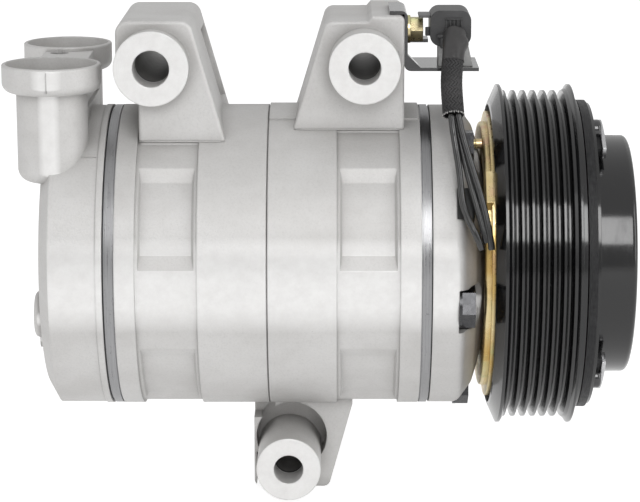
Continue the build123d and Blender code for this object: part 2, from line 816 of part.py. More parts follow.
with BuildPart() as coil_housing:
    with BuildSketch(Plane.XZ) as coil_profile:
        with BuildLine():
            Polyline(
                (at(front_head_end), nose_radius + 3.2),
                (at(front_head_end), 40.0),
                (at(lip_back), 42.0),
                (at(lip_back), lip_radius),
                (at(76.6), lip_radius),
                (at(76.6), dish_radius),
                (at(78.6), dish_radius),
                (at(79.4), coil_outer),
                (at(coil_front), coil_outer),
                (at(coil_front), coil_inner),
                (at(77.2), coil_inner),
                (at(77.2), nose_radius + 3.2),
                close=True,
            )
        make_face()
        rims = coil_profile.vertices().filter_by(lambda vertex: vertex.Y > 47 and vertex.X < at(79))
        fillet(rims.sort_by(Axis.X)[0], radius=1.0)
    revolve(axis=Axis.X)
    tube(coil_outer - shell, coil_inner + shell, coil_back, coil_front, mode=Mode.SUBTRACT)
    # The bent tab that keys the coil to the front head.
    with BuildSketch(Plane.YZ.offset(at(74.6))) as tab:
        with Locations(Location(ray(46.5, tab_angle))):
            Rectangle(12, tab_width, rotation=tab_angle)
    extrude(amount=2.4)
save(coil_housing.part, "coil_housing")

with BuildPart() as coil_winding:
    tube(coil_outer - shell - 0.05, coil_inner + shell + 0.05, coil_back, coil_front - 1)
save(coil_winding.part, "coil_winding")

with BuildPart() as coil_stud:
    with BuildSketch(Plane.YZ.offset(at(stud_tip + 1))) as stud_base:
        with Locations(Location(ray(stud_circle, stud_angle))):
            Circle(1.75)
    extrude(amount=lip_back - stud_tip - 1)
    with BuildSketch(Plane.YZ.offset(at(stud_tip))) as stud_end:
        with Locations(Location(ray(stud_circle, stud_angle))):
            Circle(1.5)
    extrude(amount=1)
save(coil_stud.part, "coil_stud")

with BuildPart() as bearing_retaining_ring:
    tube(nose_radius + 2.5, nose_radius - 0.9, nose_end + 0.05, nose_end + 1.25)
    with BuildSketch(Plane.YZ.offset(at(nose_end - 1))) as gap:
        with Locations((0, 18)):
            Rectangle(7, 8)
    extrude(amount=3, mode=Mode.SUBTRACT)
save(bearing_retaining_ring.part, "bearing_retaining_ring")

# ---- Pulley and its double-row ball bearing ----
ball_radius = 3.0
ball_circle = (nose_radius + bearing_outer) / 2
ball_count = 14
ball_rows = (bearing_back + 5.2, bearing_front - 5.2)
land = 2.4
ball_play = 0.06

with BuildPart() as bearing_inner_ring:
    tube(ball_circle - land, nose_radius, bearing_back, bearing_front)
    for row in ball_rows:
        with BuildSketch(Plane.XZ) as race:
            with Locations((at(row), ball_circle)):
                Circle(ball_radius + ball_play)
        revolve(axis=Axis.X, mode=Mode.SUBTRACT)
save(bearing_inner_ring.part, "bearing_inner_ring")

with BuildPart() as bearing_outer_ring:
    tube(bearing_outer, ball_circle + land, bearing_back, bearing_front)
    for row in ball_rows:
        with BuildSketch(Plane.XZ) as race:
            with Locations((at(row), ball_circle)):
                Circle(ball_radius + ball_play)
        revolve(axis=Axis.X, mode=Mode.SUBTRACT)
save(bearing_outer_ring.part, "bearing_outer_ring")

with BuildPart() as bearing_balls:
    for row in ball_rows:
        with Locations(Plane.YZ.offset(at(row))):
            with PolarLocations(ball_circle, ball_count):
                Sphere(ball_radius)
save(bearing_balls.part, "bearing_balls")

pulley_bore = 27.5
pulley_inner_wall = 30.0
channel_radius = 47.4
channel_front = 96.5
rim_back = 77.6
flange_first = 81.05
flange_last = 106.2
groove_half_tip = 1.35
groove_half_root = 0.35
groove_root = rib_radius - groove_depth
slot_circle = 38.0
slot_width = 3.2
slot_sweep = 60

rim_profile = [
    (bearing_back, pulley_bore),
    (bearing_back, pulley_inner_wall),
    (channel_front, pulley_inner_wall),
    (channel_front, channel_radius),
    (82.0, channel_radius),
    (79.8, 53.2),
    (rim_back, 53.4),
    (rim_back + 0.3, 54.6),
    (flange_first - 0.5, pulley_flange_radius),
    (flange_first + 0.5, pulley_flange_radius),
    (first_groove - groove_half_tip - 0.5, rib_radius),
]
for index in range(groove_count):
    groove = first_groove + index * groove_pitch
    rim_profile.append((groove - groove_half_tip, rib_radius))
    rim_profile.append((groove - groove_half_root, groove_root))
    rim_profile.append((groove + groove_half_root, groove_root))
    rim_profile.append((groove + groove_half_tip, rib_radius))
rim_profile.extend(
    [
        (flange_last - 1.3, rib_radius + 0.6),
        (flange_last - 0.4, pulley_flange_radius),
        (flange_last + 0.4, pulley_flange_radius),
        (flange_last + 0.9, friction_radius),
        (pulley_front, friction_radius),
        (pulley_front, pulley_bore),
    ]
)

with BuildPart() as pulley:
    turned(rim_profile)
    tube(pulley_inner_wall + 1.5, 0, bearing_front + 0.5, pulley_front, mode=Mode.SUBTRACT)
    with BuildSketch(Plane.YZ.offset(at(channel_front))) as flux_slots:
        for start_angle in (0, 90, 180, 270):
            SlotArc(CenterArc((0, 0, 0), slot_circle, start_angle, slot_sweep), slot_width)
    extrude(amount=pulley_front - channel_front, mode=Mode.SUBTRACT)
save(pulley.part, "pulley")

# ---- Armature, clutch hub and damper ----
armature_inner = 27.0
armature_radius = 55.0
flange_back = 112.0
cover_flange_front = 113.2
cover_flange_radius = 54.0
rivet_circle = 50.0
rivet_radius = 2.5
rivet_head = 3.6
rivet_head_height = 2.8
rivet_count = 3
rivet_angle = 108.0
cover_wall = 2.0
hub_radius = 13.0
hub_plate_radius = 27.0
damper_outer = cover_radius - cover_wall - 0.1
damper_inner = 27.1

with BuildPart() as armature_plate:
    tube(armature_radius, armature_inner, armature_back, armature_front)
    holes(rivet_radius, rivet_circle, rivet_angle, armature_back, armature_front, rivet_count)
    with BuildSketch(Plane.YZ.offset(at(armature_back))) as armature_slots:
        for start_angle in (40, 130, 220, 310):
            SlotArc(CenterArc((0, 0, 0), slot_circle + 5, start_angle, slot_sweep), slot_width)
    extrude(amount=armature_front - armature_back, mode=Mode.SUBTRACT)
save(armature_plate.part, "armature_plate")

with BuildPart() as damper_cover:
    with BuildSketch(Plane.XZ) as cover_profile:
        with BuildLine():
            Polyline(
                (at(flange_back), cover_radius - cover_wall),
                (at(flange_back), cover_flange_radius),
                (at(cover_flange_front), cover_flange_radius),
                (at(cover_flange_front), cover_radius),
                (at(cover_front), cover_radius),
                (at(cover_front), 37.0),
                (at(cover_front - 2), 37.0),
                (at(cover_front - 2), cover_radius - cover_wall),
                close=True,
            )
        make_face()
        fillet(cover_profile.vertices().sort_by(Axis.X)[-2:].sort_by(Axis.Y)[-1], radius=1.8)
    revolve(axis=Axis.X)
    holes(rivet_radius, rivet_circle, rivet_angle, flange_back, cover_flange_front, rivet_count)
save(damper_cover.part, "damper_cover")

with BuildPart() as armature_rivets:
    shank_start = armature_back + 0.3
    head_end = cover_flange_front + rivet_head_height
    holes(rivet_radius, rivet_circle, rivet_angle, shank_start, cover_flange_front, rivet_count, Mode.ADD)
    holes(rivet_head, rivet_circle, rivet_angle, cover_flange_front, head_end, rivet_count, Mode.ADD)
    rivet_tops = armature_rivets.faces().filter_by(Axis.X).group_by(Axis.X)[-1]
    fillet(rivet_tops.edges(), radius=1.4)
save(armature_rivets.part, "armature_rivets")

with BuildPart() as clutch_hub:
    tube(hub_radius, spline_radius, hub_seat, hub_seat_end)
    tube(hub_plate_radius, spline_radius, 112.6, 116.2)
    tube(hub_plate_radius, hub_plate_radius - 2.4, 112.6, 124.4)
    fillet(clutch_hub.faces().sort_by(Axis.X)[-1].edges(), radius=0.7)
save(clutch_hub.part, "clutch_hub")

with BuildPart() as hub_damper:
    tube(damper_outer, damper_inner, 113.4, 124.0)
save(hub_damper.part, "hub_damper")

nut_height = 6.0
with BuildPart() as hub_nut:
    tube(9.0, thread_radius + 0.05, hub_seat_end, hub_seat_end + 1.2)
    with BuildSketch(Plane.YZ.offset(at(hub_seat_end + 1.2))) as nut:
        RegularPolygon(7.0, 6, major_radius=False)
        Circle(thread_radius + 0.05, mode=Mode.SUBTRACT)
    extrude(amount=nut_height - 1.2)
save(hub_nut.part, "hub_nut")

# ---- Connector bracket, bolted to the side of the front ear ----
bracket_sheet = 1.2
bracket_front = -18.0
bracket_width = 26.0
bracket_back = 42.0
bracket_top = 89.4
shelf_height = 68.5
shelf_end = 73.0
gusset_size = 4.5
gusset_depth = 5.0
tongue_height = 76.0
tongue_back = 0.6
tongue_depth = 9.0
plug_station = 63.1
plug_half = 7.1
plug_bottom = 77.1
plug_top = 89.4

with BuildPart() as connector_bracket:
    with BuildSketch(Plane.XZ.offset(-bracket_front)) as strip:
        with BuildLine():
            Polyline(
                (at(bracket_back), bracket_top),
                (at(bracket_x + bracket_sheet), bracket_top),
                (at(bracket_x + bracket_sheet), shelf_height + bracket_sheet),
                (at(shelf_end), shelf_height + bracket_sheet),
                (at(shelf_end), shelf_height),
                (at(bracket_x), shelf_height),
                (at(bracket_x), bracket_top - bracket_sheet),
                (at(bracket_back), bracket_top - bracket_sheet),
                close=True,
            )
        make_face()
        upper_bend = strip.vertices().group_by(Axis.Y)[-1].sort_by(Axis.X)[-1]
        lower_bend = strip.vertices().group_by(Axis.Y)[0].sort_by(Axis.X)[0]
        fillet([upper_bend, lower_bend], radius=2.4)
    extrude(amount=-bracket_width)
    # A pressed gusset stiffens the lower bend.
    with BuildSketch(Plane.XZ.offset(-bracket_front)) as gusset:
        with BuildLine():
            Polyline(
                (at(bracket_x) + 1, shelf_height + 1),
                (at(bracket_x) + 1, shelf_height + bracket_sheet + gusset_size),
                (at(bracket_x + bracket_sheet), shelf_height + bracket_sheet + gusset_size),
                (at(bracket_x + bracket_sheet) + gusset_size, shelf_height + bracket_sheet),
                (at(bracket_x + bracket_sheet) + gusset_size, shelf_height + 1),
                close=True,
            )
        make_face()
    extrude(amount=-gusset_depth)
    # A tongue behind the bolt reaches across to the connector.
    with BuildSketch(Plane.XY.offset(tongue_height)) as tongue:
        tongue_start = bracket_x + bracket_sheet / 2
        tongue_end = plug_station - plug_half
        with Locations((at((tongue_start + tongue_end) / 2), tongue_back + tongue_depth / 2)):
            Rectangle(tongue_end - tongue_start, tongue_depth)
    extrude(amount=bracket_sheet)
    with BuildSketch(Plane.YZ.offset(at(bracket_x))) as screw_hole:
        with Locations((screw_y, screw_height)):
            Circle(screw_radius + 2 * screw_play)
    extrude(amount=bracket_sheet, mode=Mode.SUBTRACT)
save(connector_bracket.part, "connector_bracket")

with BuildPart() as bracket_bolt:
    head_plane = Plane.YZ.offset(at(bracket_x + bracket_sheet))
    with BuildSketch(head_plane) as washer_face:
        with Locations((screw_y, screw_height)):
            Circle(4.9)
    extrude(amount=1.2)
    with BuildSketch(head_plane.offset(1.2)) as bolt_hex:
        with Locations((screw_y, screw_height)):
            RegularPolygon(4.0, 6, major_radius=False)
    extrude(amount=4.4)
    with BuildSketch(head_plane) as bolt_shank:
        with Locations((screw_y, screw_height)):
            Circle(screw_radius)
    extrude(amount=-bracket_sheet - screw_reach)
save(bracket_bolt.part, "bracket_bolt")

plug_back = 0.0
plug_front = -17.0
plug_wall = 1.5
plug_corner = 3.6
mouth_depth = 9.0
clip_front = -14.5
clip_depth = 14.0
clip_near = 4.0
clip_far = 7.9
clip_far_top = 5.5

with BuildPart() as connector_housing:
    with BuildSketch(Plane.XZ.offset(-plug_front)) as plug_face:
        with Locations((at(plug_station), (plug_bottom + plug_top) / 2)):
            RectangleRounded(2 * plug_half, plug_top - plug_bottom, plug_corner)
    extrude(amount=-(plug_back - plug_front))
    with BuildSketch(Plane.XZ.offset(-plug_back)) as plug_mouth:
        with Locations((at(plug_station), (plug_bottom + plug_top) / 2)):
            mouth_height = plug_top - plug_bottom - 2 * plug_wall
            RectangleRounded(2 * (plug_half - plug_wall), mouth_height, plug_corner - plug_wall)
    extrude(amount=mouth_depth, mode=Mode.SUBTRACT)
save(connector_housing.part, "connector_housing")

clip_bottom = shelf_height + bracket_sheet + 0.05
with BuildPart() as connector_clip:
    with BuildSketch(Plane.XZ.offset(-clip_front)) as clip_face:
        with BuildLine():
            Polyline(
                (at(plug_station - clip_near), clip_bottom),
                (at(plug_station - clip_near), plug_bottom + plug_corner),
                (at(plug_station + clip_far_top), plug_bottom + plug_corner),
                (at(plug_station + clip_far), clip_bottom),
                close=True,
            )
        make_face()
    extrude(amount=-clip_depth)
    with BuildSketch(Plane.XZ.offset(-plug_front)) as clip_space:
        with Locations((at(plug_station), (plug_bottom + plug_top) / 2)):
            RectangleRounded(2 * plug_half + 0.1, plug_top - plug_bottom + 0.1, plug_corner)
    extrude(amount=-(plug_back - plug_front), mode=Mode.SUBTRACT)
save(connector_clip.part, "connector_clip")

# ---- Harness: sleeve from the connector, then wires down to the coil ----
sleeve_radius = 3.55
sleeve_inner = 3.05
sleeve_path = [(64.4, -18.6, 81.5), (63.7, -26.0, 76.0), (62.9, -31.0, 66.5), (63.4, -37.0, 56.4)]
wire_radius = 1.15
wire_paths = [
    [
        (62.3, -36.3, 58.9),
        (63.6, -41.0, 48.5),
        (65.4, -45.2, 36.5),
        (66.8, -50.2, 26.4),
        (70.4, -53.6, 18.6),
        (72.6, -53.8, 13.4),
    ],
    [
        (63.4, -34.9, 58.3),
        (65.4, -39.0, 48.0),
        (68.4, -45.0, 36.2),
        (71.4, -50.2, 25.6),
        (74.2, -53.3, 15.4),
    ],
    [
        (64.6, -36.3, 58.9),
        (67.0, -41.2, 47.8),
        (71.0, -46.6, 35.0),
        (73.9, -51.2, 24.6),
        (76.0, -53.9, 13.2),
    ],
]


def shifted(points):
    return [(at(station), y, z) for station, y, z in points]


def swept_round(points, radius):
    with BuildLine() as path:
        Spline(shifted(points))
    with BuildSketch(Plane(origin=path.line @ 0, z_dir=path.line % 0)) as section:
        Circle(radius)
    sweep(section.sketch, path=path.line)


with BuildPart() as harness_sleeve:
    swept_round(sleeve_path, sleeve_radius)
    with BuildLine() as sleeve_line:
        Spline(shifted(sleeve_path))
    with BuildSketch(Plane(origin=sleeve_line.line @ 0, z_dir=sleeve_line.line % 0)) as sleeve_bore:
        Circle(sleeve_inner)
    sweep(sleeve_bore.sketch, path=sleeve_line.line, mode=Mode.SUBTRACT)
save(harness_sleeve.part, "harness_sleeve")

with BuildPart() as lead_wires:
    for points in wire_paths:
        swept_round(points, wire_radius)
save(lead_wires.part, "lead_wires")
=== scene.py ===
"""Looks of the air-conditioning compressor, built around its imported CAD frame."""

import json
import math

import bmesh
import bpy
from mathutils import Matrix, Vector


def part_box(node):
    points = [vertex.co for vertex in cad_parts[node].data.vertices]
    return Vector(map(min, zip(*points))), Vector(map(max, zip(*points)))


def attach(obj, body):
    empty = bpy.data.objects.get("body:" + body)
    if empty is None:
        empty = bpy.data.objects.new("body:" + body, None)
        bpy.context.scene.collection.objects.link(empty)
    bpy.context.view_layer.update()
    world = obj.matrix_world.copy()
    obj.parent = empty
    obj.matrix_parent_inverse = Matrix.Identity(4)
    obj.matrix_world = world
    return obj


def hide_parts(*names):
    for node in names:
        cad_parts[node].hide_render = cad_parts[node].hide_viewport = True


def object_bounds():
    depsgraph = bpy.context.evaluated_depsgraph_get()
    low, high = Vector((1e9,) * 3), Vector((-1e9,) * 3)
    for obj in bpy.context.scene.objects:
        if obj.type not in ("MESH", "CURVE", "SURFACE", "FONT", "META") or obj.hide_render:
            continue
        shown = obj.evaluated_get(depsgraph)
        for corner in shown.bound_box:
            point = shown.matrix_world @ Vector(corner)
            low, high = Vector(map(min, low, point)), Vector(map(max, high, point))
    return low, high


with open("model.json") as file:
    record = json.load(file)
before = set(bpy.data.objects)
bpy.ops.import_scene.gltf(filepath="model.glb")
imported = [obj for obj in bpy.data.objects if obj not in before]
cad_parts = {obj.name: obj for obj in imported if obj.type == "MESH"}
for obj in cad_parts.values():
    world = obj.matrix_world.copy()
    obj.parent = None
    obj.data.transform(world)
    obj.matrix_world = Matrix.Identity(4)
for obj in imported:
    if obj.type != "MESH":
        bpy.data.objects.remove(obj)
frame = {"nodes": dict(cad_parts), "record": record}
cad_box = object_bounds()


# ---------------------------------------------------------------- node helpers
class Shader:
    """A small wrapper that adds nodes to one material and joins them."""

    def __init__(self, name):
        self.material = bpy.data.materials.new(name)
        self.material.use_nodes = True
        self.tree = self.material.node_tree
        self.bsdf = self.tree.nodes["Principled BSDF"]
        self.place = self.tree.nodes.new("ShaderNodeTexCoord").outputs["Object"]
        geometry = self.tree.nodes.new("ShaderNodeNewGeometry")
        self.normal = geometry.outputs["Normal"]

    def add(self, kind, settings=None, **inputs):
        node = self.tree.nodes.new(kind)
        for key, value in (settings or {}).items():
            setattr(node, key, value)
        for key, value in inputs.items():
            self.put(node.inputs[key.replace("_", " ")], value)
        return node

    def put(self, socket, value):
        if isinstance(value, bpy.types.NodeSocket):
            self.tree.links.new(value, socket)
        else:
            socket.default_value = value

    def math(self, operation, a, b=0.0, clamp=False):
        node = self.add("ShaderNodeMath", {"operation": operation, "use_clamp": clamp})
        self.put(node.inputs[0], a)
        self.put(node.inputs[1], b)
        return node.outputs[0]

    def split(self, vector):
        return self.add("ShaderNodeSeparateXYZ", Vector=vector).outputs

    def stretched(self, scale):
        node = self.add("ShaderNodeMapping", Vector=self.place)
        node.inputs["Scale"].default_value = scale
        return node.outputs["Vector"]

    def noise(self, scale, detail=3.0, roughness=0.55, vector=None):
        node = self.add(
            "ShaderNodeTexNoise",
            Vector=vector or self.place,
            Scale=scale,
            Detail=detail,
            Roughness=roughness,
        )
        return node.outputs["Fac"]

    def cells(self, scale, output="Distance"):
        return self.add("ShaderNodeTexVoronoi", Vector=self.place, Scale=scale).outputs[output]

    def ramp(self, value, low, high, to_low=0.0, to_high=1.0):
        node = self.add("ShaderNodeMapRange", {"clamp": True})
        for socket, number in zip(node.inputs, (value, low, high, to_low, to_high)):
            self.put(socket, number)
        return node.outputs["Result"]

    def mix(self, factor, a, b):
        node = self.add("ShaderNodeMix", {"data_type": "RGBA"})
        self.put(node.inputs["Factor"], factor)
        self.put(node.inputs[6], rgba(a))
        self.put(node.inputs[7], rgba(b))
        return node.outputs[2]

    def bump(self, height, distance, strength=1.0, normal=None):
        node = self.add("ShaderNodeBump", Height=height, Distance=distance, Strength=strength)
        if normal is not None:
            self.put(node.inputs["Normal"], normal)
        return node.outputs["Normal"]

    def soft_edges(self, radius, samples=4):
        return self.add("ShaderNodeBevel", {"samples": samples}, Radius=radius).outputs["Normal"]

    def edge_turn(self, radius):
        """How far the softened normal leans from the true one: above 0 only near sharp edges."""
        leaning = self.add("ShaderNodeVectorMath", {"operation": "DOT_PRODUCT"})
        self.put(leaning.inputs[0], self.soft_edges(radius))
        self.put(leaning.inputs[1], self.normal)
        return self.math("SUBTRACT", 1.0, leaning.outputs["Value"])

    def occlusion(self, distance):
        node = self.add("ShaderNodeAmbientOcclusion", {"samples": 6}, Distance=distance)
        return node.outputs["AO"]

    def circle_distance(self, x, z):
        """Distance of the shaded point from an axis along Y through (x, z)."""
        along_x, _, along_z = self.split(self.place)
        dx = self.math("SUBTRACT", along_x, x)
        dz = self.math("SUBTRACT", along_z, z)
        squares = self.math("ADD", self.math("MULTIPLY", dx, dx), self.math("MULTIPLY", dz, dz))
        return self.math("SQRT", squares)

    def finish(self, color, roughness, metallic=0.0, normal=None, **more):
        self.put(self.bsdf.inputs["Base Color"], rgba(color))
        self.put(self.bsdf.inputs["Roughness"], roughness)
        self.put(self.bsdf.inputs["Metallic"], metallic)
        if normal is not None:
            self.put(self.bsdf.inputs["Normal"], normal)
        for key, value in more.items():
            self.put(self.bsdf.inputs[key.replace("_", " ")], value)
        return self.material


def rgba(value):
    if isinstance(value, (tuple, list)) and len(value) == 3:
        return (*value, 1.0)
    return value


# ---------------------------------------------------------------- materials
def ear_bores():
    """(x, z) of the three mounting holes, from the record's mounts."""
    found = []
    for mount in frame["record"]["mounts"]:
        if mount["name"].endswith("ear_bore"):
            found.append((mount["pos_m"][0], mount["pos_m"][2]))
    return found


def cast_aluminium():
    """Sand-fine cast skin, with brighter turned faces where the casting was machined."""
    s = Shader("cast_aluminium")
    y = s.split(s.place)[1]
    ny = s.split(s.normal)[1]
    patches = s.noise(38.0, 5.0, 0.6)
    streaks = s.noise(22.0, 4.0, 0.65, s.stretched((0.35, 1.0, 2.2)))
    grain = s.noise(1300.0, 4.0, 0.75)
    pores = s.ramp(s.cells(620.0), 0.10, 0.04)
    rare = s.ramp(s.noise(160.0, 2.0), 0.58, 0.66)
    specks = s.math("MULTIPLY", pores, rare)
    skin = s.mix(s.ramp(patches, 0.35, 0.65), (0.585, 0.575, 0.563), (0.665, 0.657, 0.648))
    skin = s.mix(s.ramp(streaks, 0.42, 0.70, 0.0, 0.45), skin, (0.72, 0.715, 0.705))
    skin = s.mix(s.ramp(grain, 0.30, 0.52, 0.22, 0.0), skin, (0.40, 0.39, 0.38))
    skin = s.mix(s.math("MULTIPLY", specks, 0.6), skin, (0.23, 0.22, 0.215))
    # Painted highlight, partly rubbed wear: the skin is lightened wherever the softened normal leans from the true
    # one, in hollow corners as well as on ridges.
    rubbed_and_lit_edges = s.ramp(s.edge_turn(0.0007), 0.02, 0.12, 0.0, 0.5)
    skin = s.mix(rubbed_and_lit_edges, skin, (0.80, 0.795, 0.785))
    # Painted shade: the skin is darkened where ambient occlusion finds crevices, recesses and corners.
    crevice_shade = s.ramp(s.occlusion(0.006), 0.55, 0.95, 0.55, 0.0)
    skin = s.mix(crevice_shade, skin, (0.27, 0.26, 0.25))

    # Where one finish or painted band of bore light or shade fades into the next, start and end in metres:
    # first along Y, from the machined face of the ears into their bores, then outwards from a bore's centre.
    ear_face = (-0.0349, -0.0347)
    bore_mouth = (-0.0349, -0.0346)
    step_start = (-0.0236, -0.0230)
    step_end = (-0.0222, -0.0220)
    cored_start = (-0.0212, -0.0204)
    bore_rim = (0.0071, 0.0073)
    ring_rim = (0.0138, 0.0140)
    ring_frequency = 9000.0

    machined = s.math("MULTIPLY", s.ramp(y, *ear_face, 1.0, 0.0), s.ramp(ny, -0.99, -0.95, 1.0, 0.0))
    rings = None
    bores = None
    for bore_x, bore_z in ear_bores():
        reach = s.circle_distance(bore_x, bore_z)
        inside = s.ramp(reach, *bore_rim, 1.0, 0.0)
        bores = inside if bores is None else s.math("ADD", bores, inside)
        turned = s.math("SINE", s.math("MULTIPLY", reach, ring_frequency))
        near = s.ramp(reach, *ring_rim, 1.0, 0.0)
        turned = s.math("MULTIPLY", turned, near)
        rings = turned if rings is None else s.math("ADD", rings, turned)
    rings = s.math("MULTIPLY", rings, machined)
    bright = s.mix(s.ramp(s.noise(240.0, 4.0, 0.7), 0.3, 0.7), (0.80, 0.79, 0.78), (0.88, 0.875, 0.865))
    color = s.mix(machined, skin, bright)
    # The reamed end of each bore is bright; at a sharp step a painted highlight rings the bore, a near-black painted
    # shadow follows just past it, and the cored hole beyond is painted darker as shade deep in the bore.
    bores = s.math("MULTIPLY", bores, s.ramp(y, *bore_mouth))
    # Painted shade: the cored part of each bore is darker than the cast skin, for the shade deep in the hole.
    deep_bore_shade = s.mix(s.noise(260.0, 4.0, 0.7), (0.20, 0.19, 0.185), (0.46, 0.45, 0.44))
    # Painted highlight: a bright band rings each bore at its step.
    step_highlight = s.math("MULTIPLY", s.ramp(y, *step_start), s.ramp(y, *step_end, 1.0, 0.0))
    reamed_and_step_light = s.mix(step_highlight, s.mix(0.35, bright, skin), (0.92, 0.92, 0.91))
    # Painted shadow: a near-black band just past the step.
    reamed_and_step_light = s.mix(s.ramp(y, *step_end), reamed_and_step_light, (0.05, 0.05, 0.05))
    bore_color = s.mix(s.ramp(y, *cored_start), reamed_and_step_light, deep_bore_shade)
    color = s.mix(bores, color, bore_color)
    rough = s.math("ADD", grain, s.math("MULTIPLY", patches, 1.5))
    cast = s.math("MULTIPLY", rough, s.ramp(machined, 0.0, 1.0, 1.0, 0.12))
    height = s.math("ADD", cast, s.math("MULTIPLY", rings, 0.06))
    normal = s.bump(height, 0.00016, 0.6, s.soft_edges(0.0008))
    rough = s.mix(machined, (0.50, 0.50, 0.50), (0.30, 0.30, 0.30))
    return s.finish(color, rough, 0.42, normal)


def valve_steel():
    s = Shader("valve_steel")
    streaks = s.noise(55.0, 5.0, 0.7, s.stretched((30.0, 1.0, 1.0)))
    spots = s.ramp(s.noise(900.0, 3.0, 0.7), 0.62, 0.72)
    color = s.mix(streaks, (0.22, 0.22, 0.225), (0.50, 0.50, 0.51))
    color = s.mix(s.math("MULTIPLY", spots, 0.5), color, (0.10, 0.10, 0.10))
    return s.finish(color, s.ramp(streaks, 0.3, 0.7, 0.24, 0.42), 1.0, s.bump(streaks, 0.00008, 0.5))


def ground_steel(name="steel", dark=(0.42, 0.42, 0.43), light=(0.60, 0.60, 0.61)):
    s = Shader(name)
    streaks = s.noise(400.0, 3.0)
    color = s.mix(streaks, dark, light)
    return s.finish(color, s.ramp(streaks, 0.3, 0.7, 0.2, 0.36), 1.0, s.bump(streaks, 0.00004, 0.4))


def gasket():
    s = Shader("gasket")
    fleck = s.noise(900.0, 3.0)
    color = s.mix(fleck, (0.012, 0.012, 0.013), (0.045, 0.045, 0.047))
    return s.finish(color, 0.6, 0.0, s.bump(fleck, 0.0001, 0.4))


def zinc_gold():
    """Yellow chromate over zinc: gold that drifts to pink and green."""
    s = Shader("zinc_gold")
    drift = s.noise(38.0, 3.0, 0.6)
    second = s.noise(75.0, 2.0, 0.5, s.stretched((1.0, 1.4, 0.8)))
    gold = s.mix(s.ramp(drift, 0.35, 0.65), (0.62, 0.43, 0.16), (0.88, 0.76, 0.46))
    pink = s.mix(s.ramp(second, 0.56, 0.74, 0.0, 0.75), gold, (0.80, 0.46, 0.36))
    color = s.mix(s.ramp(second, 0.30, 0.42, 0.6, 0.0), pink, (0.52, 0.58, 0.30))
    fine = s.noise(900.0, 3.0)
    smut = s.ramp(s.noise(260.0, 4.0, 0.7), 0.60, 0.76, 0.0, 0.18)
    color = s.mix(smut, color, (0.30, 0.22, 0.12))
    return s.finish(color, s.ramp(fine, 0.3, 0.7, 0.24, 0.40), 1.0, s.bump(fine, 0.00006, 0.4, s.soft_edges(0.0003)))


def black_paint():
    s = Shader("black_paint")
    peel = s.noise(420.0, 2.0)
    dust = s.ramp(s.noise(1800.0, 2.0, 0.8), 0.66, 0.76)
    smear = s.ramp(s.noise(70.0, 4.0, 0.65, s.stretched((2.5, 1.0, 1.0))), 0.50, 0.72)
    color = s.mix(s.math("MULTIPLY", dust, 0.18), (0.0045, 0.0045, 0.005), (0.16, 0.16, 0.16))
    rough = s.ramp(smear, 0.0, 1.0, 0.14, 0.30)
    normal = s.bump(peel, 0.00004, 0.35, s.soft_edges(0.00035))
    return s.finish(color, rough, 0.0, normal, Coat_Weight=0.5, Coat_Roughness=0.10)


def armature_steel():
    s = Shader("armature_steel")
    scale = s.noise(700.0, 4.0, 0.7)
    turned = s.noise(240.0, 3.0, 0.7, s.stretched((14.0, 1.0, 1.0)))
    color = s.mix(s.math("MULTIPLY", scale, turned), (0.006, 0.006, 0.007), (0.12, 0.12, 0.122))
    return s.finish(color, s.ramp(scale, 0.3, 0.7, 0.3, 0.6), 0.6, s.bump(turned, 0.0003, 0.7))


def plain_plastic(name, dark, light, rough, grain=1600.0, depth=0.00006, **more):
    s = Shader(name)
    texture = s.noise(grain, 3.0)
    scuff = s.ramp(s.noise(300.0, 4.0, 0.7, s.stretched((1.0, 1.0, 4.0))), 0.60, 0.74)
    color = s.mix(s.ramp(s.noise(120.0, 3.0), 0.35, 0.65), dark, light)
    pale = tuple(min(1.0, 1.7 * channel + 0.01) for channel in light)
    color = s.mix(s.math("MULTIPLY", scuff, 0.5), color, pale)
    return s.finish(color, rough, 0.0, s.bump(texture, depth, 0.5, s.soft_edges(0.0003)), **more)


def bronze():
    s = Shader("bronze")
    pores = s.noise(1200.0, 3.0)
    return s.finish(s.mix(pores, (0.45, 0.28, 0.11), (0.68, 0.47, 0.22)), 0.42, 1.0, s.bump(pores, 0.00005, 0.4))


def piston_coat():
    s = Shader("piston_coat")
    rings = s.noise(300.0, 3.0, 0.6, s.stretched((12.0, 1.0, 1.0)))
    return s.finish(s.mix(rings, (0.10, 0.10, 0.11), (0.18, 0.18, 0.19)), 0.4, 0.5, s.bump(rings, 0.00004, 0.4))


def copper():
    s = Shader("copper")
    turns = s.noise(300.0, 2.0, 0.5, s.stretched((20.0, 1.0, 1.0)))
    return s.finish(s.mix(turns, (0.32, 0.10, 0.04), (0.58, 0.24, 0.10)), 0.3, 0.9, s.bump(turns, 0.0001, 0.5))


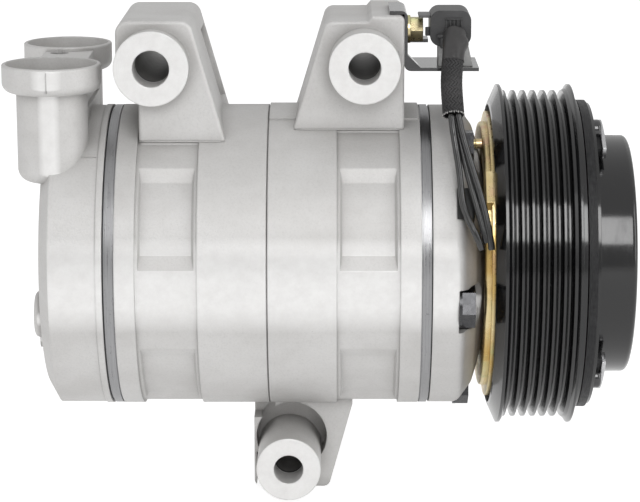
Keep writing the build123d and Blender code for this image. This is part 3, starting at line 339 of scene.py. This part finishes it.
finishes = {
    "cast_aluminium": cast_aluminium(),
    "valve_steel": valve_steel(),
    "steel": ground_steel(),
    "gasket": gasket(),
    "zinc_gold": zinc_gold(),
    "black_paint": black_paint(),
    "armature_steel": armature_steel(),
    "bronze": bronze(),
    "piston_coat": piston_coat(),
    "copper": copper(),
    "rubber": plain_plastic("rubber", (0.008, 0.008, 0.008), (0.018, 0.018, 0.018), 0.55),
    "black_steel": plain_plastic(
        "black_steel",
        (0.014, 0.014, 0.015),
        (0.035, 0.035, 0.037),
        0.16,
        900.0,
        0.00002,
        Coat_Weight=1.0,
        Coat_Roughness=0.08,
    ),
    "connector_plastic": plain_plastic("connector_plastic", (0.040, 0.040, 0.041), (0.062, 0.062, 0.063), 0.38),
    "latch": plain_plastic("latch", (0.10, 0.10, 0.10), (0.15, 0.15, 0.15), 0.40),
    "clip_plastic": plain_plastic("clip_plastic", (0.36, 0.36, 0.355), (0.46, 0.46, 0.455), 0.45),
    "braid": plain_plastic("braid", (0.020, 0.019, 0.020), (0.040, 0.038, 0.039), 0.42, 4200.0, 0.00003),
    "boot": plain_plastic("boot", (0.030, 0.029, 0.029), (0.048, 0.046, 0.046), 0.38, 2400.0, 0.00003),
    "strap": ground_steel("strap", (0.50, 0.50, 0.51), (0.72, 0.72, 0.73)),
    "bolt_steel": ground_steel("bolt_steel", (0.045, 0.045, 0.048), (0.12, 0.12, 0.124)),
    "fray": plain_plastic("fray", (0.45, 0.44, 0.43), (0.62, 0.61, 0.60), 0.5),
    "wire": plain_plastic(
        "wire",
        (0.008, 0.008, 0.008),
        (0.016, 0.016, 0.016),
        0.14,
        1600.0,
        0.00002,
        Coat_Weight=0.8,
        Coat_Roughness=0.06,
    ),
}
for entry in frame["record"]["subparts"]:
    piece = frame["nodes"][entry["node"]]
    piece.data.materials.clear()
    special = {"through_bolts": "bolt_steel", "armature_rivets": "black_steel"}
    finish = special.get(entry["node"], entry["material_slot"])
    piece.data.materials.append(finishes[finish])


# ---------------------------------------------------------------- mesh helpers
def new_piece(name, mesh, finish, body="housing"):
    """Links a finished bmesh as one visible piece that rides on a CAD body."""
    data = bpy.data.meshes.new(name)
    mesh.to_mesh(data)
    mesh.free()
    data.shade_smooth()
    data.materials.append(finishes[finish])
    piece = bpy.data.objects.new(name, data)
    bpy.context.scene.collection.objects.link(piece)
    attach(piece, body)
    return piece


def add_tube(mesh, centres, radius, sides, closed_ends=True, flat=1.0, ups=None):
    """Sweeps a round (or flattened) section along a list of points."""
    rings = []
    side = None
    last = len(centres) - 1
    for index, centre in enumerate(centres):
        ahead = (centres[min(index + 1, last)] - centres[max(index - 1, 0)]).normalized()
        if ups is not None:
            up = ups[index]
            side = ahead.cross(up).normalized()
        else:
            if side is None:
                side = ahead.orthogonal().normalized()
            side = (side - ahead * side.dot(ahead)).normalized()
            up = side.cross(ahead).normalized()
        size = radius[index] if isinstance(radius, list) else radius
        ring = []
        for step in range(sides):
            turn = 2 * math.pi * step / sides
            offset = side * math.cos(turn) * size + up * math.sin(turn) * size * flat
            ring.append(mesh.verts.new(centre + offset))
        rings.append(ring)
    for near, far in zip(rings, rings[1:]):
        for step in range(sides):
            after = (step + 1) % sides
            mesh.faces.new((near[step], near[after], far[after], far[step]))
    if closed_ends:
        mesh.faces.new(tuple(reversed(rings[0])))
        mesh.faces.new(tuple(rings[-1]))


def smooth_path(points, count):
    """Points along a Catmull-Rom curve through the given points."""
    padded = [2 * points[0] - points[1], *points, 2 * points[-1] - points[-2]]
    path = []
    for index in range(count):
        where = (len(points) - 1) * index / (count - 1)
        part = min(int(where), len(points) - 2)
        t = where - part
        a, b, c, d = padded[part : part + 4]
        path.append(
            0.5 * (2 * b + (c - a) * t + (2 * a - 5 * b + 4 * c - d) * t**2 + (3 * b - a - 3 * c + d) * t**3)
        )
    return path


def frames_along(path):
    """(centre, side, up) at each point, with no twist from one point to the next."""
    frames = []
    side = None
    last = len(path) - 1
    for index, centre in enumerate(path):
        ahead = (path[min(index + 1, last)] - path[max(index - 1, 0)]).normalized()
        if side is None:
            side = ahead.orthogonal().normalized()
        side = (side - ahead * side.dot(ahead)).normalized()
        frames.append((centre, side, ahead.cross(side).normalized()))
    return frames


def seam_x(distance):
    """X in metres of a station given in mm from the seam between the two blocks."""
    origin_station = 93.6
    return (distance - origin_station) / 1000


# ---------------------------------------------------------------- braided sleeve
sleeve_points = [
    Vector((seam_x(64.4), -0.0186, 0.0815)),
    Vector((seam_x(63.7), -0.0260, 0.0760)),
    Vector((seam_x(62.9), -0.0310, 0.0665)),
    Vector((seam_x(63.4), -0.0370, 0.0564)),
]
sleeve_radius = 0.0035


def braided_sleeve():
    """Interlaced flat yarns over a dark liner."""
    strands = 18
    turns = 1.55
    weave = 0.00011
    samples = 150
    frames = frames_along(smooth_path(sleeve_points, samples))
    mesh = bmesh.new()
    liner = [centre for centre, _, _ in frames]
    add_tube(mesh, liner, sleeve_radius - 0.00035, 24, closed_ends=False)
    add_tube(mesh, liner, sleeve_radius - 0.00075, 24, closed_ends=False)
    for way in (1, -1):
        for strand in range(strands):
            start = 2 * math.pi * strand / strands
            centres = []
            ups = []
            for index, (centre, side, up) in enumerate(frames):
                share = index / (samples - 1)
                turn = start + way * 2 * math.pi * turns * share
                outward = side * math.cos(turn) + up * math.sin(turn)
                crossing = turn * strands / 2 + (0.0 if way > 0 else math.pi)
                lift = weave * math.cos(crossing + math.pi * strand)
                centres.append(centre + outward * (sleeve_radius + lift))
                ups.append(outward)
            add_tube(mesh, centres, 0.00042, 6, flat=0.38, ups=ups)
    piece = new_piece("braided_sleeve", mesh, "braid")
    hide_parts("harness_sleeve")


def frayed_end():
    """Pale cut yarn ends that stand out round the lower end of the sleeve."""
    frames = frames_along(smooth_path(sleeve_points, 60))
    centre, side, up = frames[-1]
    ahead = (frames[-1][0] - frames[-2][0]).normalized()
    mesh = bmesh.new()
    count = 46
    for index in range(count):
        turn = 2 * math.pi * index / count
        sway = math.sin(index * 2.4)
        outward = side * math.cos(turn) + up * math.sin(turn)
        around = side * -math.sin(turn) + up * math.cos(turn)
        foot = centre + outward * (sleeve_radius - 0.0001) - ahead * 0.0004
        middle = foot + ahead * 0.0005 + outward * 0.00025 + around * 0.0002 * sway
        tip = middle + ahead * (0.0003 + 0.0002 * sway) + outward * (0.0001 + 0.0002 * math.cos(index * 1.7))
        add_tube(mesh, [foot, middle, tip], [0.00017, 0.00016, 0.00010], 5)
    new_piece("sleeve_frayed_end", mesh, "fray")


def sleeve_boot():
    """The smooth shrunk cuff over the upper part of the sleeve, with a fold on its outer side."""
    path = smooth_path(sleeve_points, 60)[:27]
    last = len(path) - 1
    mesh = bmesh.new()
    rings = []
    sides = 40
    for index, (centre, side, up) in enumerate(frames_along(path)):
        share = index / last
        swell = math.exp(-(((share - 0.42) / 0.2) ** 2))
        ring = []
        for step in range(sides):
            turn = 2 * math.pi * step / sides
            outward = side * math.cos(turn) + up * math.sin(turn)
            lean = max(0.0, outward.x) ** 3
            size = 0.00392 - 0.0001 * share + 0.0012 * swell * lean + 0.00006 * math.sin(5 * turn + 3 * share)
            ring.append(mesh.verts.new(centre + outward * size))
        rings.append(ring)
    for near, far in zip(rings, rings[1:]):
        for step in range(sides):
            after = (step + 1) % sides
            mesh.faces.new((near[step], near[after], far[after], far[step]))
    mesh.faces.new(tuple(reversed(rings[0])))
    mesh.faces.new(tuple(rings[-1]))
    new_piece("sleeve_boot", mesh, "boot")


braided_sleeve()
frayed_end()
sleeve_boot()


# ---------------------------------------------------------------- casting marks
def add_bead(mesh, points, outwards, width, height):
    """A low raised line left on the casting where two mould halves met."""
    sections = []
    last = len(points) - 1
    for index, (point, outward) in enumerate(zip(points, outwards)):
        ahead = (points[min(index + 1, last)] - points[max(index - 1, 0)]).normalized()
        side = ahead.cross(outward).normalized()
        size = 0.25 if index in (0, last) else 1.0
        foot = point - outward * 0.00012
        sections.append(
            [
                mesh.verts.new(foot - side * width / 2),
                mesh.verts.new(point - side * width / 5 + outward * height * size),
                mesh.verts.new(point + side * width / 5 + outward * height * size),
                mesh.verts.new(foot + side * width / 2),
            ]
        )
    for near, far in zip(sections, sections[1:]):
        for step in range(4):
            after = (step + 1) % 4
            mesh.faces.new((near[step], far[step], far[after], near[after]))
    mesh.faces.new(sections[0])
    mesh.faces.new(tuple(reversed(sections[-1])))


def barrel_point(station, angle, radius):
    """A point on a barrel about the shaft, with its outward direction. Angles are polar, from +Y."""
    turn = math.radians(angle)
    outward = Vector((0.0, math.cos(turn), math.sin(turn)))
    return Vector((seam_x(station), 0.0, 0.0)) + outward * radius / 1000, outward


def casting_marks():
    head_radius = 53.2
    collar_station = -74.0
    collar_foot = 64.6
    collar_height = 7.0
    mesh = bmesh.new()
    # Lines along the rear head.
    for angle, first, last in ((129.5, -74.0, -58.6), (38.0, -72.0, -58.6)):
        spots = [barrel_point(first + (last - first) * step / 12, angle, head_radius) for step in range(13)]
        add_bead(mesh, [spot[0] for spot in spots], [spot[1] for spot in spots], 0.00045, 0.00022)
    # A line down each port collar, at its widest point towards the side.
    for offset, rim in ((-27.0, 17.0), (27.0, 15.9)):
        for lean in (-1, 1):
            points = []
            outwards = []
            turn = math.radians(-90.0 if lean < 0 else 90.0)
            outward = Vector((math.cos(turn), math.sin(turn), 0.0))
            for step in range(7):
                height = collar_foot + collar_height * step / 6
                centre = Vector((seam_x(collar_station), offset / 1000, height / 1000))
                points.append(centre + outward * rim / 1000)
                outwards.append(outward)
            add_bead(mesh, points, outwards, 0.0005, 0.00022)
    # Fillet beads along the roots of the two upper ears.
    for side, height, first, last in ((-28.0, 45.6, -44.2, -14.8), (-22.0, 48.8, 8.9, 46.9)):
        points = []
        for step in range(13):
            station = first + (last - first) * step / 12
            points.append(Vector((seam_x(station), (side - 0.1) / 1000, height / 1000)))
        add_bead(mesh, points, [Vector((0.0, -0.8, 0.6))] * len(points), 0.0008, 0.0004)
    new_piece("casting_marks", mesh, "cast_aluminium")


casting_marks()


# ---------------------------------------------------------------- connector details
def add_block(mesh, low, high, bevel=0.0003):
    """A box with softened edges, between two corners given in metres."""
    made = bmesh.ops.create_cube(mesh, size=1.0)
    size = Vector(high) - Vector(low)
    centre = (Vector(high) + Vector(low)) / 2
    bmesh.ops.transform(
        mesh,
        matrix=Matrix.Translation(centre) @ Matrix.Diagonal((*size, 1.0)),
        verts=made["verts"],
    )
    edges = {edge for vert in made["verts"] for edge in vert.link_edges}
    bmesh.ops.bevel(mesh, geom=list(edges), offset=bevel, segments=2, affect="EDGES", profile=0.5)


def connector_details():
    low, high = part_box("connector_housing")
    middle = (low.x + high.x) / 2
    face = low.y
    top = high.z
    # How far each block sinks into the housing.
    sunk = 0.0004
    mesh = bmesh.new()
    # Latch frame with its ribs, and the ledge under it.
    add_block(
        mesh,
        (middle - 0.0020, face - 0.0010, top - 0.0066),
        (middle + 0.0042, face + sunk, top - 0.0060),
    )
    add_block(
        mesh,
        (middle - 0.0020, face - 0.0010, top - 0.0032),
        (middle + 0.0042, face + sunk, top - 0.0026),
    )
    for step in range(5):
        left = middle - 0.0018 + 0.0013 * step
        add_block(
            mesh,
            (left, face - 0.0007, top - 0.0062),
            (left + 0.0005, face + sunk, top - 0.0030),
            0.00015,
        )
    add_block(
        mesh,
        (middle - 0.0048, face - 0.0024, top - 0.0092),
        (middle + 0.0052, face + sunk, top - 0.0080),
    )
    add_block(
        mesh,
        (middle - 0.0038, face - 0.0034, top - 0.0128),
        (middle + 0.0046, face + sunk, top - 0.0090),
        0.0007,
    )
    # The side tab and the small hook under it.
    add_block(
        mesh,
        (low.x - 0.0016, face + 0.0020, top - 0.0090),
        (low.x + sunk, face + 0.0036, top - 0.0060),
    )
    new_piece("connector_details", mesh, "connector_plastic")
    tab = bmesh.new()
    add_block(
        tab,
        (low.x - 0.0039, face + 0.0030, top - 0.0029),
        (low.x + sunk, face + 0.0140, top - 0.0020),
    )
    new_piece("latch_tab", tab, "latch")


connector_details()


# ---------------------------------------------------------------- clutch details
def add_arc_plate(mesh, start, sweep, inner, outer, back, front):
    """A plate that follows an arc around the shaft axis; angles in degrees, sizes in metres."""
    slices = []
    for step in range(17):
        turn = math.radians(start + sweep * step / 16)
        outward = Vector((0.0, math.cos(turn), math.sin(turn)))
        corners = ((back, inner), (front, inner), (front, outer), (back, outer))
        slices.append([mesh.verts.new(outward * radius + Vector((x, 0.0, 0.0))) for x, radius in corners])
    for near, far in zip(slices, slices[1:]):
        for side in range(4):
            after = (side + 1) % 4
            mesh.faces.new((near[side], near[after], far[after], far[side]))
    mesh.faces.new(tuple(reversed(slices[0])))
    mesh.faces.new(tuple(slices[-1]))
    sharp = [edge for edge in mesh.edges if len(edge.link_faces) == 2 and edge.calc_face_angle(0.0) > 1.0]
    bmesh.ops.bevel(mesh, geom=sharp, offset=0.00025, segments=2, affect="EDGES", profile=0.5)


def leaf_ends():
    """The pale spring-leaf ends under the armature rivets, and the dark stops behind them."""
    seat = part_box("damper_cover")[0].x + 0.0012
    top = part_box("armature_rivets")[1].x
    stops = bmesh.new()
    leaves = bmesh.new()
    for rivet in (108.0, 228.0, 348.0):
        add_arc_plate(stops, rivet - 12.0, 24.0, 0.0458, 0.0492, seat - 0.0001, top - 0.0004)
        add_arc_plate(leaves, rivet - 11.0, 24.0, 0.0452, 0.0500, top - 0.0005, top + 0.0010)
    new_piece("leaf_stops", stops, "armature_steel", "armature")
    new_piece("leaf_ends", leaves, "strap", "armature")


leaf_ends()


# ---------------------------------------------------------------- stage, light and camera
def floor_material():
    s = Shader("floor")
    shade = s.mix(s.noise(3.0, 2.0), (0.50, 0.50, 0.50), (0.515, 0.515, 0.515))
    s.put(s.bsdf.inputs["Emission Color"], (1.0, 1.0, 1.0, 1.0))
    seen = s.add("ShaderNodeLightPath").outputs["Is Camera Ray"]
    s.put(s.bsdf.inputs["Emission Strength"], s.ramp(seen, 0.0, 1.0, 0.52, 0.80))
    s.put(s.bsdf.inputs["Specular IOR Level"], 0.0)
    return s.finish(shade, 0.9)


def make_floor(height):
    mesh = bpy.data.meshes.new("floor")
    half = 6.0
    corners = [(-half, -half, height), (half, -half, height), (half, half, height), (-half, half, height)]
    mesh.from_pydata(corners, [], [(0, 1, 2, 3)])
    floor = bpy.data.objects.new("floor", mesh)
    bpy.context.scene.collection.objects.link(floor)
    floor.data.materials.append(floor_material())


def softbox(name, target, azimuth, elevation, distance, width, height, radiance):
    """A rectangular light at an azimuth (0 is the camera side) and elevation about the target."""
    data = bpy.data.lights.new(name, "AREA")
    data.shape = "RECTANGLE"
    data.size = width
    data.size_y = height
    data.energy = radiance * math.pi * width * height
    lamp = bpy.data.objects.new(name, data)
    turn = math.radians(azimuth)
    rise = math.radians(elevation)
    away = Vector((math.sin(turn) * math.cos(rise), -math.cos(turn) * math.cos(rise), math.sin(rise)))
    lamp.location = target + away * distance
    lamp.rotation_euler = (-away).to_track_quat("-Z", "Y").to_euler()
    bpy.context.scene.collection.objects.link(lamp)


low, high = (Vector(corner) for corner in cad_box)
make_floor(low.z - 0.0005)

aim = Vector((-0.0701, 0.0, 0.0))
camera_distance = 0.874
camera_rise = math.radians(12.7)
camera_data = bpy.data.cameras.new("camera")
camera_data.sensor_width = 36.0
camera_data.lens = 136.74
camera_data.shift_x = -0.025
camera_data.shift_y = 0.0029
camera = bpy.data.objects.new("camera", camera_data)
camera.location = aim + camera_distance * Vector((0.0, -math.cos(camera_rise), math.sin(camera_rise)))
camera.rotation_euler = (math.pi / 2 - camera_rise, 0.0, 0.0)
bpy.context.scene.collection.objects.link(camera)
bpy.context.scene.camera = camera

softbox("key", aim, 8.0, 33.0, 1.15, 0.28, 0.52, 5.9)
softbox("left", aim, -62.0, 20.0, 1.1, 0.45, 0.8, 0.8)
softbox("right", aim, 66.0, 20.0, 1.1, 0.45, 0.8, 2.2)


def studio_world():
    """A pale room, a little brighter overhead than near the horizon."""
    world = bpy.data.worlds.new("world")
    world.use_nodes = True
    tree = world.node_tree
    background = tree.nodes["Background"]
    direction = tree.nodes.new("ShaderNodeTexCoord").outputs["Generated"]
    parts = tree.nodes.new("ShaderNodeSeparateXYZ")
    fade = tree.nodes.new("ShaderNodeMapRange")
    tree.links.new(direction, parts.inputs["Vector"])
    tree.links.new(parts.outputs["Z"], fade.inputs["Value"])
    for name, value in (("From Min", 0.05), ("From Max", 0.85), ("To Min", 0.50), ("To Max", 0.68)):
        fade.inputs[name].default_value = value
    tree.links.new(fade.outputs["Result"], background.inputs["Strength"])
    background.inputs["Color"].default_value = (1.0, 1.0, 1.0, 1.0)
    bpy.context.scene.world = world


studio_world()
bpy.context.scene.view_settings.view_transform = "Standard"
